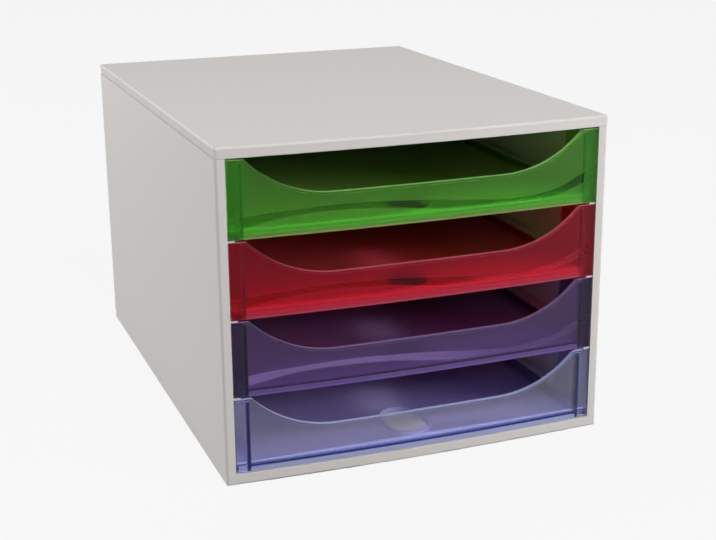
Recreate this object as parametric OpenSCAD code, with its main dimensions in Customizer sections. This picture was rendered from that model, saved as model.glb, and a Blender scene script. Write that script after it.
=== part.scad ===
// Desk drawer tower: a pale plastic casing of five moulded panels with four
// translucent drawers that slide on ledges. X is the width, the fronts face -Y,
// Z is up. The origin is at the middle of the footprint, on the desk.

/* [Casing] */
// Width of the casing
case_w = 284; // [276:1:300]
// Depth of the casing, over the bowed front edge
case_d = 387; // [370:1:400]
// Height of the casing without its feet
case_h = 234; // [230:1:244]
// How far the front bows forward between its two corners
front_bow = 4.3; // [2:0.1:7]
// Width of a side panel's front edge
side_t = 6.8; // [6:0.2:8]
// Height of the top panel's edge
top_t = 7.7; // [7:0.1:9]
// Height of the bottom panel's edge
bottom_t = 7.8; // [7:0.1:9]
// Wall thickness of the moulded panels
skin = 2.6; // [2.2:0.1:3]
// Radius of the casing's outer edges
edge_r = 1.5; // [1:0.1:2]
// Radius of the casing's upright front corners
corner_r = 2; // [1.5:0.1:2.5]
// How far the top and bottom panels' side edges taper in towards the seam
edge_draft = 0.7; // [0.2:0.1:1]

/* [Drawer fronts] */
// Wall thickness of a drawer's front
front_t = 2.4; // [2:0.1:3]
// Height of the open gap between two fronts
front_gap = 1.4; // [1.2:0.1:2]
// How far the fronts stand back from the casing's edge
front_recess = 1; // [0.6:0.1:2]
// Clearance between a front's end and the side panel
front_side_gap = 0.9; // [0.9:0.1:1.5]
// Height of the scoop's level bottom above the front's lower edge
scoop_h = 27; // [22:1:32]
// Half the width of the scoop's level bottom
scoop_flat = 62; // [50:1:66]
// Radius of the scoop's rising sides
scoop_r = 83.3; // [76:0.1:90]
// Radius of the shoulder where the scoop meets the level top
shoulder_r = 4; // [2:1:6]
// Width of the thicker rim along the scoop
rim_w = 2.2; // [1.5:0.1:3]

/* [Drawer trays] */
// Wall thickness of a tray's sides and back
tray_t = 1.9; // [1.6:0.1:2.2]
// Thickness of the tray's floor
floor_t = 1.7; // [1.4:0.1:2]
// Clear height under the tray's floor
floor_z = 3.8; // [3.4:0.1:4.2]
// Distance of a tray wall's middle from the drawer's middle
tray_half = 124.8; // [122:0.1:126]
// Height of the low side walls
rim_h = 10.5; // [9:0.5:16]
// Height of the tall stretch of side wall behind the front
cheek_h = 50; // [44:1:51]
// Distance from the front corners to the end of that tall stretch
cheek_len = 30; // [24:1:40]
// Height of the tray's rear wall
rear_h = 24; // [18:1:32]
// Width of the finger hole in the floor
hole_w = 29; // [24:1:36]
// Length of the finger hole in the floor
hole_len = 45; // [40:1:60]
// Distance from the front corners to the near end of the finger hole
hole_front = 8; // [7:0.5:14]
// Distance that a drawer slides out before its stop rib meets the nib
travel = 260; // [200:5:270]

/* [Feet] */
// Diameter of a rubber foot
foot_d = 18; // [14:1:22]
// Height that the feet lift the casing
foot_stand = 1; // [0.5:0.1:2]
// Distance of a foot's middle from the casing's sides
foot_inset = 22; // [18:1:30]
// Distance of a foot's middle from the front corners and from the back
foot_setback = 26; // [20:1:60]

/* [Hidden] */

// Facets of ordinary round parts, and of the front's very large bow circle
$fn = 32;
bow_fn = 720;
// Small overlap that fuses two shapes of one piece
weld = 0.2;
// How far a cutting shape runs past the face that it cuts
over = 1;
// A rounding is set this much proud, so that it meets the next face at a slight angle
runout = 0.05;

half_w = case_w / 2;
y_front = -case_d / 2;
y_back = case_d / 2;
// Radius and middle of the circle that the bowed front edge follows
bow_r = (half_w * half_w + front_bow * front_bow) / (2 * front_bow);
bow_y = y_front + bow_r;
// The front corners, where the bow ends
y_corner = y_front + front_bow;

z_base = foot_stand;
z_floor = z_base + bottom_t;
z_ceiling = z_base + case_h - top_t;

// Inner faces of the side panels' front edges and of their skins
opening_half = half_w - side_t;
skin_in = half_w - skin;
// Thickness of the panels' front and rear returns, and of the side panels' long returns
return_t = 3;
return_h = 2.2;

// The back panel's plate, the seat it lies against and how far it laps the panels
back_t = 2.4;
back_recess = 1.5;
back_lap = 2.6;
back_play = 0.15;
y_seat = y_back - back_recess - back_t;
// Buttons on the back panel that the closed drawers stop against
button_d = 8;
button_x = 90;
button_up = 12;
button_len = 2.4;
button_gap = 1.2;

// Tongues on the side panels and the grooves they sit in
tongue_t = 2;
tongue_h = 3.4;
tongue_play = 0.1;
groove_end = 4;

// Drawer spacing
glide_gap = 0.6;
head_gap = 0.5;
pitch = (z_ceiling - z_floor - head_gap) / 4;
front_h = pitch - front_gap;
front_half = opening_half - front_side_gap;
tray_len = y_seat - button_len - button_gap - y_corner;
// The tray's walls start inside the thickness of the front
wall_start = 2;
// Height of the walls' lower edge above the skirts' lower edge
wall_lift = 0.4;
flange_half = front_half - 0.2;
skirt_t = 1.3;
rim_t = 1;
front_edge_r = 0.6;

// Ledges that carry the drawers, and the guides above their flanges
ledge_half = opening_half - 5;
ledge_t = 1;
ledge_clear = 0.15;
ledge_start = 0.8;
guide_half = opening_half - 3.6;
guide_t = 1.5;
guide_clear = 0.9;
guide_start = 40;
// Nibs on the ledges that the pulled-out drawers stop against
nib_w = 1.8;
nib_y = 14;
nib_len = 4;
nib_h = 2.4;
nib_gap = 0.4;
stop_t = 2;
stop_play = 1;

foot_x = half_w - foot_inset;
foot_y = [y_corner + foot_setback, y_back - foot_setback];
foot_sunk = 1.2;

function drawer_z(i) = z_floor + glide_gap + i * pitch;

// ---- shared shapes ----

// A block between two corners
module block(a, b) {
    translate(a) cube(b - a);
}

// Everything behind the bowed front line, moved back by inset
module bow_solid(inset, z0, z1) {
    translate([0, bow_y, z0]) cylinder(r = bow_r - inset, h = z1 - z0, $fn = bow_fn);
}

// A band of that depth and height swept along the bowed front, its outer edges rounded
module bow_sweep(inset, depth, h, low_r, high_r) {
    outer = bow_r - inset;
    inner = outer - depth;
    soft = max(low_r, high_r);
    // Degrees of the circle that it covers, enough for the casing's width at its back
    spread = 2.4 * asin(half_w / (bow_r - case_d));
    translate([0, bow_y, 0]) rotate([0, 0, -90 - spread / 2])
        rotate_extrude(angle = spread, $fn = bow_fn) {
            translate([inner, 0]) square([depth - soft, h]);
            translate([inner, low_r]) square([depth, h - low_r - high_r]);
            translate([outer - low_r, low_r]) circle(low_r, $fn = 24);
            translate([outer - high_r, h - high_r]) circle(high_r, $fn = 24);
            translate([inner, 0]) square([depth - low_r, h / 2]);
            translate([inner, h / 2]) square([depth - high_r, h / 2]);
        }
}

// ---- casing ----

// Section across the top panel: rounded upper edges, sides tapering in below
module lid_section(h) {
    zc = h - edge_r + runout;
    xc = half_w - edge_r;
    low = half_w - edge_draft;
    polygon([
        [-low, 0], [low, 0], [half_w, zc], [xc, h + over], [-xc, h + over], [-half_w, zc]
    ]);
    for (s = [-1, 1]) translate([s * xc, zc]) circle(edge_r, $fn = 24);
}

// Outline of the top panel from above, with the upright front corners rounded
module lid_outline() {
    xc = half_w - corner_r + runout;
    yc = bow_y - sqrt(pow(bow_r - corner_r, 2) - xc * xc) - runout;
    translate([-xc, y_front - over]) square([2 * xc, case_d + over]);
    translate([-half_w - over, yc]) square([case_w + 2 * over, y_back - yc]);
    for (s = [-1, 1]) translate([s * xc, yc]) circle(corner_r);
}

// A hollow panel: bowed front, thin skin and, between ribs, pockets that are open
// towards the inside of the casing or, under a smooth inner skin, towards the outside
module ribbed_panel(h, smooth_inside) {
    columns = 4;
    rows = 6;
    rib = 1.6;
    low_r = 0.5;
    groove_out = skin_in + tongue_play;
    groove_in = groove_out - tongue_t - 2 * tongue_play;
    field = groove_in - rib;
    field_front = y_corner + return_t;
    field_back = y_seat - return_t;
    cell_w = (2 * field - (columns - 1) * rib) / columns;
    cell_l = (field_back - field_front - (rows - 1) * rib) / rows;
    difference() {
        intersection() {
            bow_sweep(0, case_d + 60, h, low_r, edge_r);
            translate([0, y_back, 0]) rotate([90, 0, 0])
                linear_extrude(case_d + 10) lid_section(h);
            translate([0, 0, -over]) linear_extrude(h + 3 * over) lid_outline();
        }
        for (i = [0 : columns - 1], j = [0 : rows - 1])
            translate([
                -field + i * (cell_w + rib),
                field_front + j * (cell_l + rib),
                smooth_inside ? skin : -over
            ])
                cube([cell_w, cell_l, h - skin + over]);
        for (s = [-1, 1])
            block([s > 0 ? groove_in : -groove_out, field_front + groove_end, -over],
                [s > 0 ? groove_out : -groove_in, field_back - groove_end, h - skin]);
        block([-skin_in, y_seat, -over], [skin_in, y_back + over, back_lap]);
    }
}

module top_panel() {
    color("Gainsboro") translate([0, 0, z_ceiling]) ribbed_panel(top_t, false);
}

module bottom_panel() {
    boss_wall = 2.5;
    rail_end = 4;
    rail_w = front_half - ledge_half;
    color("Gainsboro") difference() {
        union() {
            translate([0, 0, z_floor]) mirror([0, 0, 1]) ribbed_panel(bottom_t, true);
            for (x = [-foot_x, foot_x], y = foot_y)
                translate([x, y, z_base])
                    cylinder(d = foot_d + 2 * boss_wall, h = bottom_t - skin + weld);
            // Rails that carry the lowest drawer, each with its stop nib
            for (s = [-1, 1]) {
                rail = s > 0 ? ledge_half : -front_half;
                block([rail, y_corner + rail_end, z_floor - weld],
                    [rail + rail_w, y_seat - rail_end, drawer_z(0) - ledge_clear]);
                stop_nib(s, drawer_z(0));
            }
        }
        for (x = [-foot_x, foot_x], y = foot_y)
            translate([x, y, z_base - over]) cylinder(d = foot_d + 0.4, h = foot_sunk + over);
    }
}

// The nib on a ledge that the drawer's stop rib meets when it is pulled out
module stop_nib(side, z) {
    x = side > 0 ? ledge_half + nib_gap : -ledge_half - nib_gap - nib_w;
    block([x, y_corner + nib_y, z - ledge_clear - weld],
        [x + nib_w, y_corner + nib_y + nib_len, z - ledge_clear + nib_h]);
}

// The right-hand side panel: skin, returns, tongues, ledges and guides
module side_panel() {
    z0 = z_floor;
    z1 = z_ceiling;
    hollow = side_t - skin;
    // Skin with its front and rear returns, rounded at the outer front corner
    translate([0, 0, z0]) linear_extrude(z1 - z0) difference() {
        union() {
            translate([opening_half, y_corner])
                square([side_t - corner_r, 2 * return_t]);
            translate([opening_half, y_corner + corner_r])
                square([side_t, y_back - y_corner - corner_r]);
            translate([half_w - corner_r, y_corner + corner_r])
                circle(corner_r);
        }
        translate([opening_half - over, y_corner + return_t])
            square([hollow + over, y_seat - y_corner - 2 * return_t]);
        translate([opening_half - over, y_seat]) square([hollow + over, back_t + 2 * over]);
    }
    // Lower and upper returns
    for (z = [z0, z1 - return_h])
        block([opening_half, y_corner + over, z], [skin_in + weld, y_seat, z + return_h]);
    // Tongues that sit in the grooves of the bottom and top panels
    for (z = [z0 - tongue_h, z1 - return_h + weld])
        block([skin_in - tongue_play - tongue_t, y_corner + return_t + groove_end + over, z],
            [skin_in - tongue_play, y_seat - return_t - groove_end - over,
                z + tongue_h + return_h - weld]);
    // Ledges under the three upper drawers
    for (i = [1 : 3]) {
        z = drawer_z(i) - ledge_clear;
        block([ledge_half, y_corner + ledge_start, z - ledge_t],
            [skin_in + weld, y_seat - over, z]);
        stop_nib(1, drawer_z(i));
    }
    // Guides above each drawer's flange, which keep it level when it is pulled out
    for (i = [0 : 3]) {
        z = drawer_z(i) + floor_z + floor_t + guide_clear;
        block([guide_half, y_corner + guide_start, z],
            [skin_in + weld, y_seat - over, z + guide_t]);
    }
}

module right_side_panel() {
    color("Gainsboro") side_panel();
}

module left_side_panel() {
    color("Gainsboro") mirror([1, 0, 0]) side_panel();
}

// The back plate: a raised frame behind, and stop buttons for the drawers in front
module back_panel() {
    plate_half = skin_in - back_play;
    z0 = z_floor - back_lap + back_play;
    z1 = z_ceiling + back_lap - back_play;
    frame = 7;
    frame_t = 1;
    color("Gainsboro") {
        difference() {
            block([-plate_half, y_seat, z0], [plate_half, y_seat + back_t + frame_t, z1]);
            block([-plate_half + frame, y_seat + back_t, z0 + frame],
                [plate_half - frame, y_back + over, z1 - frame]);
        }
        for (i = [0 : 3], x = [-button_x, button_x])
            translate([x, y_seat + weld, drawer_z(i) + button_up])
                rotate([90, 0, 0]) cylinder(d = button_d, h = button_len + weld);
    }
}

// ---- feet ----

module foot(x, y) {
    color("DimGray") translate([x, y, 0]) cylinder(d = foot_d, h = foot_stand + foot_sunk);
}

module front_left_foot() {
    foot(-foot_x, foot_y[0]);
}

module front_right_foot() {
    foot(foot_x, foot_y[0]);
}

module rear_left_foot() {
    foot(-foot_x, foot_y[1]);
}

module rear_right_foot() {
    foot(foot_x, foot_y[1]);
}

// ---- drawers ----

// The space that the scoop leaves open, grown by the rim's width where asked
module scoop(grow) {
    reach = 30;
    translate([0, y_front + 10, 0]) {
        for (s = [-1, 1])
            translate([s * scoop_flat, 0, scoop_h + scoop_r]) rotate([90, 0, 0])
                cylinder(r = scoop_r + grow, h = reach, center = true, $fn = 180);
        block([-scoop_flat, -reach / 2, scoop_h - grow],
            [scoop_flat, reach / 2, front_h + scoop_h]);
    }
}

// Rounds the outer corner between the level top and the scoop
module shoulder_cut(side) {
    depth = 14;
    wide = 3;
    cz = scoop_h + scoop_r;
    fz = front_h - shoulder_r + 3 * runout;
    apart = scoop_r + shoulder_r - runout;
    fx = scoop_flat + sqrt(apart * apart - pow(cz - fz, 2));
    // Where the shoulder's arc and the scoop's arc meet
    share = scoop_r / apart;
    tx = scoop_flat + (fx - scoop_flat) * share;
    tz = cz + (fz - cz) * share;
    translate([0, y_front + depth - over, 0]) rotate([90, 0, 0]) difference() {
        linear_extrude(depth)
            polygon([
                [side * fx, front_h + over], [side * fx, fz], [side * tx, tz],
                [side * (tx - wide), tz + over], [side * (tx - wide), front_h + over]
            ]);
        translate([side * fx, fz, -over])
            cylinder(r = shoulder_r, h = depth + 2 * over, $fn = 64);
    }
}

// The bowed front wall with its scoop and the thicker rim along it
module drawer_front() {
    rim_in = front_recess + front_t;
    rim_end = front_half - over;
    rim_top = front_h - wall_lift;
    deep = 20;
    difference() {
        union() {
            intersection() {
                bow_sweep(front_recess, front_t, front_h, front_edge_r, front_edge_r);
                block([-front_half, y_front - over, -over],
                    [front_half, y_front + deep, front_h + over]);
            }
            intersection() {
                difference() {
                    bow_solid(rim_in - weld, scoop_h - rim_w - over, rim_top);
                    bow_solid(rim_in + rim_t, 0, front_h + over);
                }
                union() {
                    scoop(rim_w);
                    block([-front_half, y_front - over, front_h - rim_w],
                        [front_half, y_front + deep, front_h]);
                }
                block([-rim_end, y_front - over, 0], [rim_end, y_front + deep, front_h]);
            }
        }
        scoop(0);
        shoulder_cut(-1);
        shoulder_cut(1);
    }
}

// Outline of a side wall, seen from the side: tall cheek, low rim, raised rear end
module side_outline() {
    drop_r = 18;
    rise_r = rear_h - rim_h;
    top_r = 4;
    tall = cheek_len - wall_start;
    rise_y = tray_len - rise_r - tray_t;
    translate([wall_start, wall_lift]) {
        square([tray_len - wall_start, rim_h - wall_lift]);
        square([tall - top_r, cheek_h - wall_lift]);
        square([tall, cheek_h - top_r - wall_lift]);
    }
    translate([cheek_len - top_r, cheek_h - top_r]) circle(top_r);
    // Hollow curves down from the cheek and up to the rear wall
    difference() {
        translate([cheek_len - over, rim_h - over]) square(drop_r + over);
        translate([cheek_len + drop_r, rim_h + drop_r]) circle(drop_r, $fn = 64);
    }
    difference() {
        translate([rise_y, rim_h - over]) square([rise_r + tray_t, rise_r + over]);
        translate([rise_y, rim_h + rise_r]) circle(rise_r, $fn = 64);
    }
}

// Floor, low walls, skirts and stop ribs of the tray
module drawer_tray() {
    y0 = y_corner + wall_start;
    y1 = y_corner + tray_len;
    wall_out = tray_half + tray_t / 2;
    lip_w = 2.6;
    lip_t = 1.6;
    // Floor, which runs out past the side walls as the flanges
    intersection() {
        block([-flange_half, y_front, floor_z], [flange_half, y1, floor_z + floor_t]);
        bow_solid(front_recess + front_t - over, 0, front_h);
    }
    for (s = [-1, 1]) {
        translate([s * tray_half - tray_t / 2, y_corner, 0])
            rotate([90, 0, 90]) linear_extrude(tray_t) side_outline();
        // Lip that stiffens the tall stretch
        lip = s > 0 ? tray_half : -wall_out - lip_w;
        block([lip, y0, cheek_h - lip_t],
            [lip + lip_w + tray_t / 2, y_corner + cheek_len - 4, cheek_h]);
        // Skirt that rides on the ledge
        skirt = s > 0 ? flange_half - skirt_t : -flange_half;
        block([skirt, y0, 0], [skirt + skirt_t, y1, floor_z + weld]);
        // Stop rib across the flange
        y_stop = y_corner + nib_y + nib_len + travel + stop_play;
        stop = s > 0 ? tray_half : -flange_half;
        block([stop, y_stop, wall_lift],
            [stop + flange_half - tray_half, y_stop + stop_t, floor_z + weld]);
    }
    // Rear wall
    block([-wall_out, y1 - tray_t, wall_lift], [wall_out, y1, rear_h]);
}

// Outline of the finger hole
module hole_outline(grow) {
    r = hole_w / 2;
    near = y_corner + hole_front + r;
    far = near + hole_len - hole_w;
    for (y = [near, far]) translate([0, y]) circle(r + grow, $fn = 64);
    translate([-r - grow, near]) square([hole_w + 2 * grow, far - near]);
}

// The drawer at place i, counted from the bottom
module drawer(i) {
    top = floor_z + floor_t;
    lip_w = 1.6;
    lip_h = 1.2;
    translate([0, 0, drawer_z(i)]) difference() {
        union() {
            drawer_front();
            drawer_tray();
            // Raised lip round the finger hole
            translate([0, 0, top - weld]) linear_extrude(lip_h + weld) hole_outline(lip_w);
        }
        translate([0, 0, -over]) linear_extrude(top + lip_h + 2 * over) hole_outline(0);
    }
}

module green_drawer() {
    color("LimeGreen", 0.8) drawer(3);
}

module red_drawer() {
    color("Crimson", 0.8) drawer(2);
}

module purple_drawer() {
    color("Indigo", 0.8) drawer(1);
}

module blue_drawer() {
    color("LightSteelBlue", 0.8) drawer(0);
}

top_panel();
bottom_panel();
left_side_panel();
right_side_panel();
back_panel();
green_drawer();
red_drawer();
purple_drawer();
blue_drawer();
front_left_foot();
front_right_foot();
rear_left_foot();
rear_right_foot();
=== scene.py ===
import math

import bpy
from mathutils import Matrix, Vector


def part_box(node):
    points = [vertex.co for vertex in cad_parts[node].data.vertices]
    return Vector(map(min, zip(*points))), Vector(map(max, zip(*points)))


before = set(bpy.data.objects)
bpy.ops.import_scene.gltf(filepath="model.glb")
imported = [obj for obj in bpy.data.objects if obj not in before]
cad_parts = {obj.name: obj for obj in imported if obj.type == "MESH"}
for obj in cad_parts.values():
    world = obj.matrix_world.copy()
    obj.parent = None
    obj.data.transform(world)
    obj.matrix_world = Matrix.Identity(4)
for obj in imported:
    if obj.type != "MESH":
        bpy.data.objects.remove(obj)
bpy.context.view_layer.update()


# ---------------------------------------------------------------------------
# Casing: top, bottom, two sides and back, five large mouldings in pale warm
# grey polystyrene. They come out of a polished and lightly blasted steel mould
# and snap together, so the faces are even and satin.

def linear(hex_colour):
    """A colour written as sRGB hex, in the linear values that shaders take."""
    parts = [int(hex_colour[i:i + 2], 16) / 255 for i in (1, 3, 5)]
    return (*(p / 12.92 if p <= 0.04045 else ((p + 0.055) / 1.055) ** 2.4 for p in parts), 1.0)


def node(owner, kind, inputs=None, **settings):
    """Adds a node, with its settings, and gives its inputs their values or links."""
    made = owner.node_tree.nodes.new(kind)
    for name, value in settings.items():
        setattr(made, name, value)
    for socket, value in (inputs or {}).items():
        if isinstance(value, bpy.types.Node):
            value = next(output for output in value.outputs if output.enabled)
        if isinstance(value, bpy.types.NodeSocket):
            owner.node_tree.links.new(value, made.inputs[socket])
        else:
            made.inputs[socket].default_value = value
    return made


def empty_material(name):
    """A material with no nodes yet."""
    material = bpy.data.materials.new(name)
    material.use_nodes = True
    material.node_tree.nodes.clear()
    return material


def dress(name, material):
    """Gives the piece of this name its one material."""
    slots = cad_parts[name].data.materials
    slots.clear()
    slots.append(material)


# Satin polystyrene: the blasted mould leaves a soft sheen with a grain of about
# 0.3 mm. The render can't show that, so the grain is drawn 1.2 mm wide. Tone and
# sheen drift by a trace over some 70 mm, as they do on a large moulding.
casing_plastic = empty_material("satin_polystyrene_pale_grey")
place = node(casing_plastic, "ShaderNodeTexCoord").outputs["Object"]
cloud = node(casing_plastic, "ShaderNodeTexNoise",
             {"Vector": place, "Scale": 14.0, "Detail": 3.0, "Roughness": 0.55})
grain = node(casing_plastic, "ShaderNodeTexNoise",
             {"Vector": place, "Scale": 1 / 0.0012, "Detail": 2.0, "Roughness": 0.6})
tone = node(casing_plastic, "ShaderNodeMix",
            {"Factor": cloud, "A": linear("#CDC9C6"), "B": linear("#D0CCC9")}, data_type="RGBA")
sheen = node(casing_plastic, "ShaderNodeMapRange", {"Value": cloud, "To Min": 0.42, "To Max": 0.5})
relief = node(casing_plastic, "ShaderNodeBump",
              {"Height": grain, "Strength": 0.12, "Distance": 0.00006})
surface = node(casing_plastic, "ShaderNodeBsdfPrincipled",
               {"Base Color": tone, "Roughness": sheen, "Normal": relief, "IOR": 1.5,
                "Specular IOR Level": 0.35})
node(casing_plastic, "ShaderNodeOutputMaterial", {"Surface": surface})

for name in ("top_panel", "bottom_panel", "left_side_panel", "right_side_panel", "back_panel"):
    dress(name, casing_plastic)


# ---------------------------------------------------------------------------
# Drawers: four alike, each one translucent polystyrene moulding in its own
# colour. The front is frosted outside but for a polished band that swings
# across it and a clear lip along the scoop. Walls and floor are smooth.

# The polished band from the left end to the right, in mm: places from the middle,
# and the heights of its two edges above the front's lower edge
band_x = [-134, -120, -90, -55, -20, 10, 40, 70, 100, 120, 134]
band_low = [6, 8.6, 13.3, 14.1, 12.3, 8.5, 5.5, 5, 8.2, 14.2, 19]
band_top = [12.8, 15.2, 17.1, 17.9, 16.7, 14.5, 11.6, 9.7, 12.9, 20.5, 27]
# The lip's inner edge in mm, from the middle outwards. It follows the scoop at the
# lip's width: level, then an arc, up to the level stretch at the front's top.
scoop_h, scoop_flat, scoop_r = 27, 62, 83.3
lip_w, lip_level = 1.8, 51.3
lip_x = [0, *range(scoop_flat, 117, 6), 120, 124, 135]
lip_low = [min(lip_level, scoop_h + scoop_r
               - math.sqrt((scoop_r + lip_w) ** 2 - max(0, x - scoop_flat) ** 2)) for x in lip_x]
# Heights in mm that these lines and the level lines at the foot run over
drawn_h, foot_h = 60, 10
# Where the side walls join the front, in metres from the middle
wall_x = 0.1257
# Haze is the share of the light that is scattered and not passed on. This is the
# smooth walls' haze.
wall_haze = 0.03


def drawer_areas(plastic, place, rise, foot_top):
    """For each area of a drawer, by its name, how far a spot belongs to it, from 0 to 1."""
    side = node(plastic, "ShaderNodeMath", {0: place["X"]}, operation="ABSOLUTE")
    height = node(plastic, "ShaderNodeMapRange", {"Value": rise, "From Max": drawn_h / 1000})
    lines = []
    for along, places, heights in ((place["X"], band_x, band_low), (place["X"], band_x, band_top),
                                   (side, lip_x, lip_low)):
        share = node(plastic, "ShaderNodeMapRange",
                     {"Value": along, "From Min": places[0] / 1000, "From Max": places[-1] / 1000})
        curve = node(plastic, "ShaderNodeFloatCurve", {"Value": share})
        line = curve.mapping.curves[0]
        spots = [((x - places[0]) / (places[-1] - places[0]), h / drawn_h)
                 for x, h in zip(places, heights)]
        line.points[0].location, line.points[1].location = spots[0], spots[-1]
        for spot in spots[1:-1]:
            line.points.new(*spot)
        curve.mapping.update()
        lines.append(curve)
    low, top, lip = lines
    over = node(plastic, "ShaderNodeMath", {0: height, 1: low}, operation="SUBTRACT")
    under = node(plastic, "ShaderNodeMath", {0: top, 1: height}, operation="SUBTRACT")
    between = node(plastic, "ShaderNodeMath", {0: under, 1: over}, operation="MINIMUM")
    past_lip = node(plastic, "ShaderNodeMath", {0: height, 1: lip}, operation="SUBTRACT")
    off_wall = node(plastic, "ShaderNodeMath", {0: side, 1: wall_x}, operation="SUBTRACT")
    off_wall = node(plastic, "ShaderNodeMath", {0: off_wall}, operation="ABSOLUTE")
    facing = node(plastic, "ShaderNodeNewGeometry").outputs["True Normal"]
    facing = node(plastic, "ShaderNodeSeparateXYZ", {"Vector": facing}).outputs
    sideways, lengthways, upwards = (
        node(plastic, "ShaderNodeMath", {0: facing[axis]}, operation="ABSOLUTE") for axis in "XYZ")

    # Each area: what is read, its value where the area starts, and where it is full
    steps = {
        # The front is the part of the drawer before its hidden face. Its outer skin
        # faces forward, its rim, painted lighter as a highlight, faces up or sideways, and its ends
        # face the casing.
        "front": (place["Y"], -0.1833, -0.1838),
        "skin": (facing["Y"], -0.9, -0.97),
        "rim": (lengthways, 0.75, 0.6),
        "end": (sideways, 0.8, 0.9),
        # The wall of the finger hole, which is 29 mm wide with a lip of 1.6 mm round it
        "upright": (upwards, 0.8, 0.6),
        "hole": (side, 0.0168, 0.0164),
        # The band and the lip, in shares of the drawn height, soft over about 0.4 mm
        "band": (between, -0.005, 0.001),
        "lip": (past_lip, -0.006, 0.002),
        # Beyond the side walls nothing behind the front is lit, and where they join it
        # one looks along the plastic, deep in colour. That ends below the level top.
        "beyond": (side, 0.1264, 0.1272),
        "joint": (off_wall, 0.0014, 0.0008),
        "below_top": (rise, 0.0508, 0.0502),
        "foot": (rise, foot_top, foot_top - 0.002),
    }
    area = {name: node(plastic, "ShaderNodeMapRange",
                       {"Value": value, "From Min": start, "From Max": full})
            for name, (value, start, full) in steps.items()}
    for name, within in (("skin", "front"), ("rim", "front"), ("end", "front"),
                         ("hole", "upright"), ("band", "skin"), ("lip", "skin"),
                         ("beyond", "skin"), ("joint", "skin"), ("joint", "below_top"),
                         ("foot", "skin")):
        area[name] = node(plastic, "ShaderNodeMath", {0: area[name], 1: area[within]},
                          operation="MULTIPLY")
    for name, without in (("hole", "front"), ("foot", "beyond")):
        area[name] = node(plastic, "ShaderNodeMath", {0: area[name], 1: area[without]},
                          operation="SUBTRACT", use_clamp=True)
    area["joint"] = node(plastic, "ShaderNodeMath", {0: area["joint"], 1: area["end"]},
                         operation="MAXIMUM")
    return area


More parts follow.
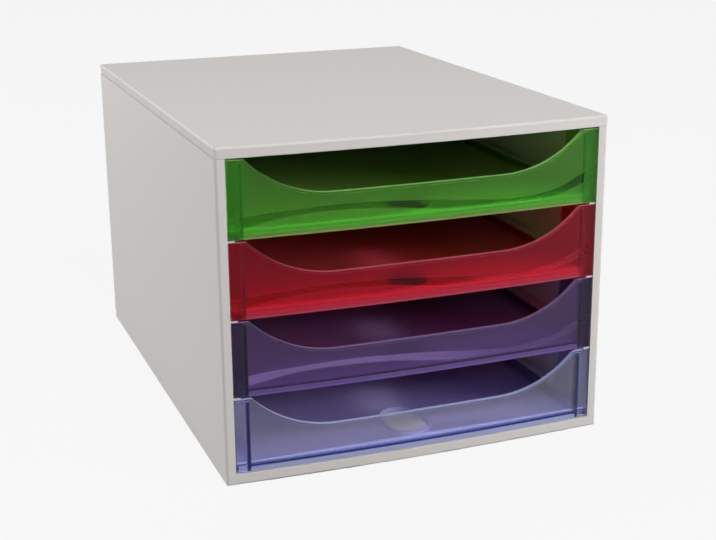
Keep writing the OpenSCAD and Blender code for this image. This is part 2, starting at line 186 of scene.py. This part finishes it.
def translucent(finish, bottom, walls, floor_haze, front, front_haze, back, ends, roots,
                lip_haze, rim, band_tones_and_shade, band_hazes, band_turn, frost, foot, depth, lamp_tint,
                lamp_share):
    """Frosted and polished translucent polystyrene, for the drawer whose front starts at bottom."""
    plastic = empty_material(finish)
    where = node(plastic, "ShaderNodeTexCoord").outputs["Object"]
    place = node(plastic, "ShaderNodeSeparateXYZ", {"Vector": where}).outputs
    rise = node(plastic, "ShaderNodeMath", {0: place["Z"], 1: bottom}, operation="SUBTRACT")
    area = drawer_areas(plastic, place, rise, foot[-1][0] / 1000)

    # The floor's root and its lit edge make level lines along the front's foot
    up_foot = node(plastic, "ShaderNodeMapRange", {"Value": rise, "From Max": foot_h / 1000})
    foot_lines = node(plastic, "ShaderNodeValToRGB", {"Fac": up_foot})
    stops = foot_lines.color_ramp.elements
    for up, colour, haze in foot:
        stops.new(up / foot_h).color = (*linear(colour)[:3], haze)
    stops.remove(stops[0])
    stops.remove(stops[-1])

    # The band's tone and haze change once along its length: painted light and shade of what shows
    # through it
    turned = node(plastic, "ShaderNodeMapRange",
                  {"Value": place["X"], "From Min": band_turn[0], "From Max": band_turn[1]})
    band_tone_and_shade = node(plastic, "ShaderNodeMix",
                     {"Factor": turned, "A": linear(band_tones_and_shade[0]), "B": linear(band_tones_and_shade[1])},
                     data_type="RGBA")
    band_haze = node(plastic, "ShaderNodeMapRange",
                     {"Value": turned, "To Min": band_hazes[0], "To Max": band_hazes[1]})

    # Colour and haze lie in layers over those of the walls and the level floor
    tone = linear(walls)
    milk = node(plastic, "ShaderNodeMapRange",
                {"Value": area["upright"], "To Min": floor_haze, "To Max": wall_haze})
    # The rim and the finger hole's wall take the rim's lighter colour: a painted highlight
    for name, colour, haze in (("hole", linear(rim[0]), 0.5),
                               ("front", linear(back), wall_haze),
                               ("skin", linear(front), front_haze),
                               ("band", band_tone_and_shade, band_haze),
                               ("lip", linear(front), lip_haze),
                               ("beyond", linear(ends), front_haze),
                               ("foot", foot_lines, foot_lines.outputs["Alpha"]),
                               ("rim", linear(rim[0]), rim[1]),
                               ("joint", linear(roots), 0.25)):
        tone = node(plastic, "ShaderNodeMix", {"Factor": area[name], "A": tone, "B": colour},
                    data_type="RGBA")
        milk = node(plastic, "ShaderNodeMix", {"Factor": area[name], "A": milk, "B": haze},
                    data_type="FLOAT")

    # The frost's grain is about 0.3 mm. It is drawn 0.9 mm wide, so that it shows.
    smooth = node(plastic, "ShaderNodeMath", {0: area["band"], 1: area["lip"]},
                  operation="MAXIMUM")
    frosted = node(plastic, "ShaderNodeMath", {0: area["skin"], 1: smooth}, operation="SUBTRACT",
                   use_clamp=True)
    grain = node(plastic, "ShaderNodeTexNoise",
                 {"Vector": where, "Scale": 1 / 0.0009, "Detail": 2.0, "Roughness": 0.6})
    bite = node(plastic, "ShaderNodeMath", {0: frosted, 1: 0.12}, operation="MULTIPLY")
    rounded = node(plastic, "ShaderNodeBevel", {"Radius": 0.0004}, samples=6)
    relief = node(plastic, "ShaderNodeBump",
                  {"Height": grain, "Strength": bite, "Distance": 0.00012, "Normal": rounded})
    rough = node(plastic, "ShaderNodeMapRange", {"Value": frosted, "To Min": 0.22, "To Max": frost})
    clear = node(plastic, "ShaderNodeMath", {0: 1.0, 1: milk}, operation="SUBTRACT")
    shell = node(plastic, "ShaderNodeBsdfPrincipled",
                 {"Base Color": tone, "Roughness": rough, "Normal": relief, "IOR": 1.45,
                  "Specular Tint": (0.2, 0.2, 0.2, 1.0), "Transmission Weight": clear})

    # Lamp light passes straight through what isn't scattered, and the colour gets
    # deeper with every millimetre of plastic
    glass = node(plastic, "ShaderNodeBsdfTransparent", {"Color": linear(lamp_tint)})
    lamp_ray = node(plastic, "ShaderNodeLightPath").outputs["Is Shadow Ray"]
    passed = node(plastic, "ShaderNodeMath", {0: clear, 1: lamp_share}, operation="MULTIPLY")
    passed = node(plastic, "ShaderNodeMath", {0: lamp_ray, 1: passed}, operation="MULTIPLY")
    mixed = node(plastic, "ShaderNodeMixShader", {0: passed, 1: shell, 2: glass})
    inner = node(plastic, "ShaderNodeVolumeAbsorption",
                 {"Color": linear(depth), "Density": 60.0})
    node(plastic, "ShaderNodeOutputMaterial", {"Surface": mixed, "Volume": inner})
    return plastic


# For each drawer, the colours of its walls, of its front's outer skin and hidden
# back, of the skin beyond the side walls (ends) and of their joints (roots). The rim's
# colour and its haze paint a highlight on the rim and on the finger hole's wall. The
# band's two tones and hazes change over at band_turn, in metres from the middle, and
# paint the light and shade that show through it. frost is the skin's roughness. foot is
# the level lines: height in mm, colour and haze. depth is the colour inside the
# plastic, and lamp_tint and lamp_share say what passes of a lamp's light.
trays = {
    "green_drawer": dict(
        finish="translucent_green_polystyrene", walls="#BCDF84", floor_haze=0.5,
        front="#8BCE65", front_haze=0.1, back="#CEE595",
        ends="#6FBF50", roots="#3FAA30",
        lip_haze=0.14, rim=("#A8E888", 0.85),
        band_tones_and_shade=("#7CBC59", "#6FBF59"), band_hazes=(0.04, 0.03),
        band_turn=(0.035, 0.05), frost=0.3,
        foot=[(0.2, "#999E6C", 0.5), (1.4, "#999E6C", 0.5),
              (2.2, "#81AD59", 0.2), (3.0, "#73CB50", 0.38),
              (3.7, "#7CCE59", 0.24), (5.0, "#6CC54B", 0.34),
              (6.0, "#7CCE59", 0.26), (9.0, "#8BCE65", 0.1)],
        depth="#98D850", lamp_tint="#C4F3B3", lamp_share=0.95),
    "red_drawer": dict(
        finish="translucent_red_polystyrene", walls="#EC556F", floor_haze=0.55,
        front="#E54569", front_haze=0.07, back="#E7506F",
        ends="#CB3C5D", roots="#AA2C3F",
        lip_haze=0.12, rim=("#E07080", 0.8),
        band_tones_and_shade=("#D33855", "#EA506F"), band_hazes=(0.03, 0.12),
        band_turn=(0.035, 0.047), frost=0.3,
        foot=[(0.2, "#BC596F", 0.45), (1.4, "#BC596F", 0.45),
              (2.2, "#BC4B61", 0.3), (3.2, "#E73F61", 0.32),
              (4.6, "#E73F61", 0.3), (9.8, "#E54569", 0.07)],
        depth="#E03048", lamp_tint="#F3A0BC", lamp_share=0.95),
    "purple_drawer": dict(
        finish="translucent_purple_polystyrene", walls="#B399CE", floor_haze=0.32,
        front="#B399CE", front_haze=0.07, back="#B399CE",
        ends="#817395", roots="#3F3C50",
        lip_haze=0.1, rim=("#9C84B4", 0.8),
        band_tones_and_shade=("#B399D1", "#AD95C8"), band_hazes=(0.25, 0.12),
        band_turn=(0.0, 0.07), frost=0.3,
        foot=[(0.2, "#896CB5", 0.5), (1.4, "#896CB5", 0.5),
              (2.1, "#6C598B", 0.4), (2.9, "#7E69A4", 0.5),
              (3.8, "#7E69A4", 0.5), (4.3, "#3F3C50", 0.25),
              (4.9, "#3F3C50", 0.25), (5.4, "#B399CE", 0.07),
              (7.5, "#B399CE", 0.07)],
        depth="#7860B0", lamp_tint="#D3C8E7", lamp_share=0.9),
    "blue_drawer": dict(
        finish="translucent_blue_polystyrene", walls="#DFDAF9", floor_haze=0.12,
        front="#E7E8EF", front_haze=0.055, back="#E7E3F7",
        ends="#E5E7F7", roots="#3F4590",
        lip_haze=0.08, rim=("#C8D0F8", 0.85),
        band_tones_and_shade=("#E7E8F0", "#E2E3EF"), band_hazes=(0.05, 0.05),
        band_turn=(0.0, 0.07), frost=0.2,
        foot=[(0.2, "#ADB3CB", 0.5), (3.4, "#ADB3CB", 0.5),
              (3.7, "#27307C", 0.45), (5.1, "#27307C", 0.45),
              (5.5, "#9BA0C4", 0.25), (6.1, "#9BA0C4", 0.25),
              (6.7, "#E7E8EF", 0.055), (8.5, "#E7E8EF", 0.055)],
        depth="#8488D0", lamp_tint="#F9F9FF", lamp_share=0.98),
}
for name, looks in trays.items():
    dress(name, translucent(bottom=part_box(name)[0].z, **looks))


# ---------------------------------------------------------------------------
# Feet: four small pads of dark moulded rubber, pressed into round pockets
# under the bottom panel.

# Rubber from an eroded mould: fine pores take away the shine, and dust clings to
# it in patches. One noise gives both, from 2.5 mm wide down to 0.2 mm.
rubber = empty_material("matt_dark_rubber")
place = node(rubber, "ShaderNodeTexCoord").outputs["Object"]
dust = node(rubber, "ShaderNodeTexNoise", {"Vector": place, "Scale": 1 / 0.0025, "Detail": 4.0})
shade = node(rubber, "ShaderNodeMix",
             {"Factor": dust, "A": linear("#2A2A2B"), "B": linear("#38383A")}, data_type="RGBA")
pores = node(rubber, "ShaderNodeBump", {"Height": dust, "Strength": 0.4, "Distance": 0.0002})
surface = node(rubber, "ShaderNodeBsdfPrincipled",
               {"Base Color": shade, "Roughness": 0.8, "Normal": pores})
node(rubber, "ShaderNodeOutputMaterial", {"Surface": surface})

for name in ("front_left_foot", "front_right_foot", "rear_left_foot", "rear_right_foot"):
    dress(name, rubber)


# ---------------------------------------------------------------------------
# Studio: a plain pale table and a white surround. The main lamp stands low in
# front on the right, and softer ones on the left, above, behind and high in front.

def seen(owner):
    """1 for what the camera sees, straight, in a reflection or through plastic."""
    rays = node(owner, "ShaderNodeLightPath").outputs
    direct = node(owner, "ShaderNodeMath", {0: rays["Is Camera Ray"], 1: rays["Is Glossy Ray"]},
                  operation="MAXIMUM")
    return node(owner, "ShaderNodeMath", {0: direct, 1: rays["Is Transmission Ray"]},
                operation="MAXIMUM")


def direction(turn, lift):
    """The way from the casing to what stands at this turn and lift, in degrees."""
    turn, lift = math.radians(turn), math.radians(lift)
    return Vector((math.sin(turn) * math.cos(lift), -math.cos(turn) * math.cos(lift),
                   math.sin(lift)))


# Paper that looks white, and still keeps a tenth of its own shading, so that the
# object's shadow shows on it
bpy.ops.mesh.primitive_plane_add(size=30)
table = bpy.context.active_object
table.name = "table"
paper = empty_material("pale_paper")
whitened = node(paper, "ShaderNodeMath", {0: seen(paper), 1: 0.9}, operation="MULTIPLY")
matt = node(paper, "ShaderNodeBsdfDiffuse", {"Color": linear("#A4A2A0")})
white = node(paper, "ShaderNodeEmission", {"Strength": 1.0})
surface = node(paper, "ShaderNodeMixShader", {0: whitened, 1: matt, 2: white})
node(paper, "ShaderNodeOutputMaterial", {"Surface": surface})
table.data.materials.append(paper)

# A surround that is white to look at, and lights the object only faintly
surround = bpy.data.worlds.new("white_room")
bpy.context.scene.world = surround
surround.use_nodes = True
surround.node_tree.nodes.clear()
dim = node(surround, "ShaderNodeBackground", {"Strength": 0.08})
white = node(surround, "ShaderNodeBackground", {"Strength": 1.0})
room = node(surround, "ShaderNodeMixShader", {0: seen(surround), 1: dim, 2: white})
node(surround, "ShaderNodeOutputWorld", {"Surface": room})

# Each lamp: turn and lift in degrees, distance and size in metres, power in watts
lamps = {
    "key_softbox": (48, 10, 2.3, 0.8, 29.0),
    "side_softbox": (-98, 18, 2.2, 1.0, 23.0),
    "top_softbox": (180, 78, 2.12, 1.4, 12.0),
    "front_softbox": (2, 46, 2.2, 0.6, 21.0),
    "rear_softbox": (-150, 4, 2.4, 1.2, 10.0),
}
casing_middle = Vector((0, 0, 0.12))
for name, (turn, lift, distance, size, power) in lamps.items():
    towards = direction(turn, lift)
    light = bpy.data.lights.new(name, "AREA")
    light.size = size
    light.energy = power
    lamp = bpy.data.objects.new(name, light)
    bpy.context.scene.collection.objects.link(lamp)
    lamp.location = casing_middle + distance * towards
    lamp.rotation_euler = (-towards).to_track_quat("-Z", "Y").to_euler()

# Camera: the photograph's angle, fitted to the casing's corners, with a slight roll
photo_width, focal_length = 716, 1381.8  # in the photograph's pixels
aim = Vector((-0.0457, -0.1892, 0.1437))
aim_distance = 0.9279
back = direction(-20.54, 17.03)
roll = math.radians(-0.51)
lens = bpy.data.cameras.new("studio_camera")
lens.lens = lens.sensor_width * focal_length / photo_width
camera = bpy.data.objects.new("studio_camera", lens)
bpy.context.scene.collection.objects.link(camera)
camera.matrix_world = (Matrix.Translation(aim + aim_distance * back)
                       @ back.to_track_quat("Z", "Y").to_matrix().to_4x4()
                       @ Matrix.Rotation(roll, 4, "Z"))
bpy.context.scene.camera = camera
bpy.context.scene.view_settings.view_transform = "Standard"
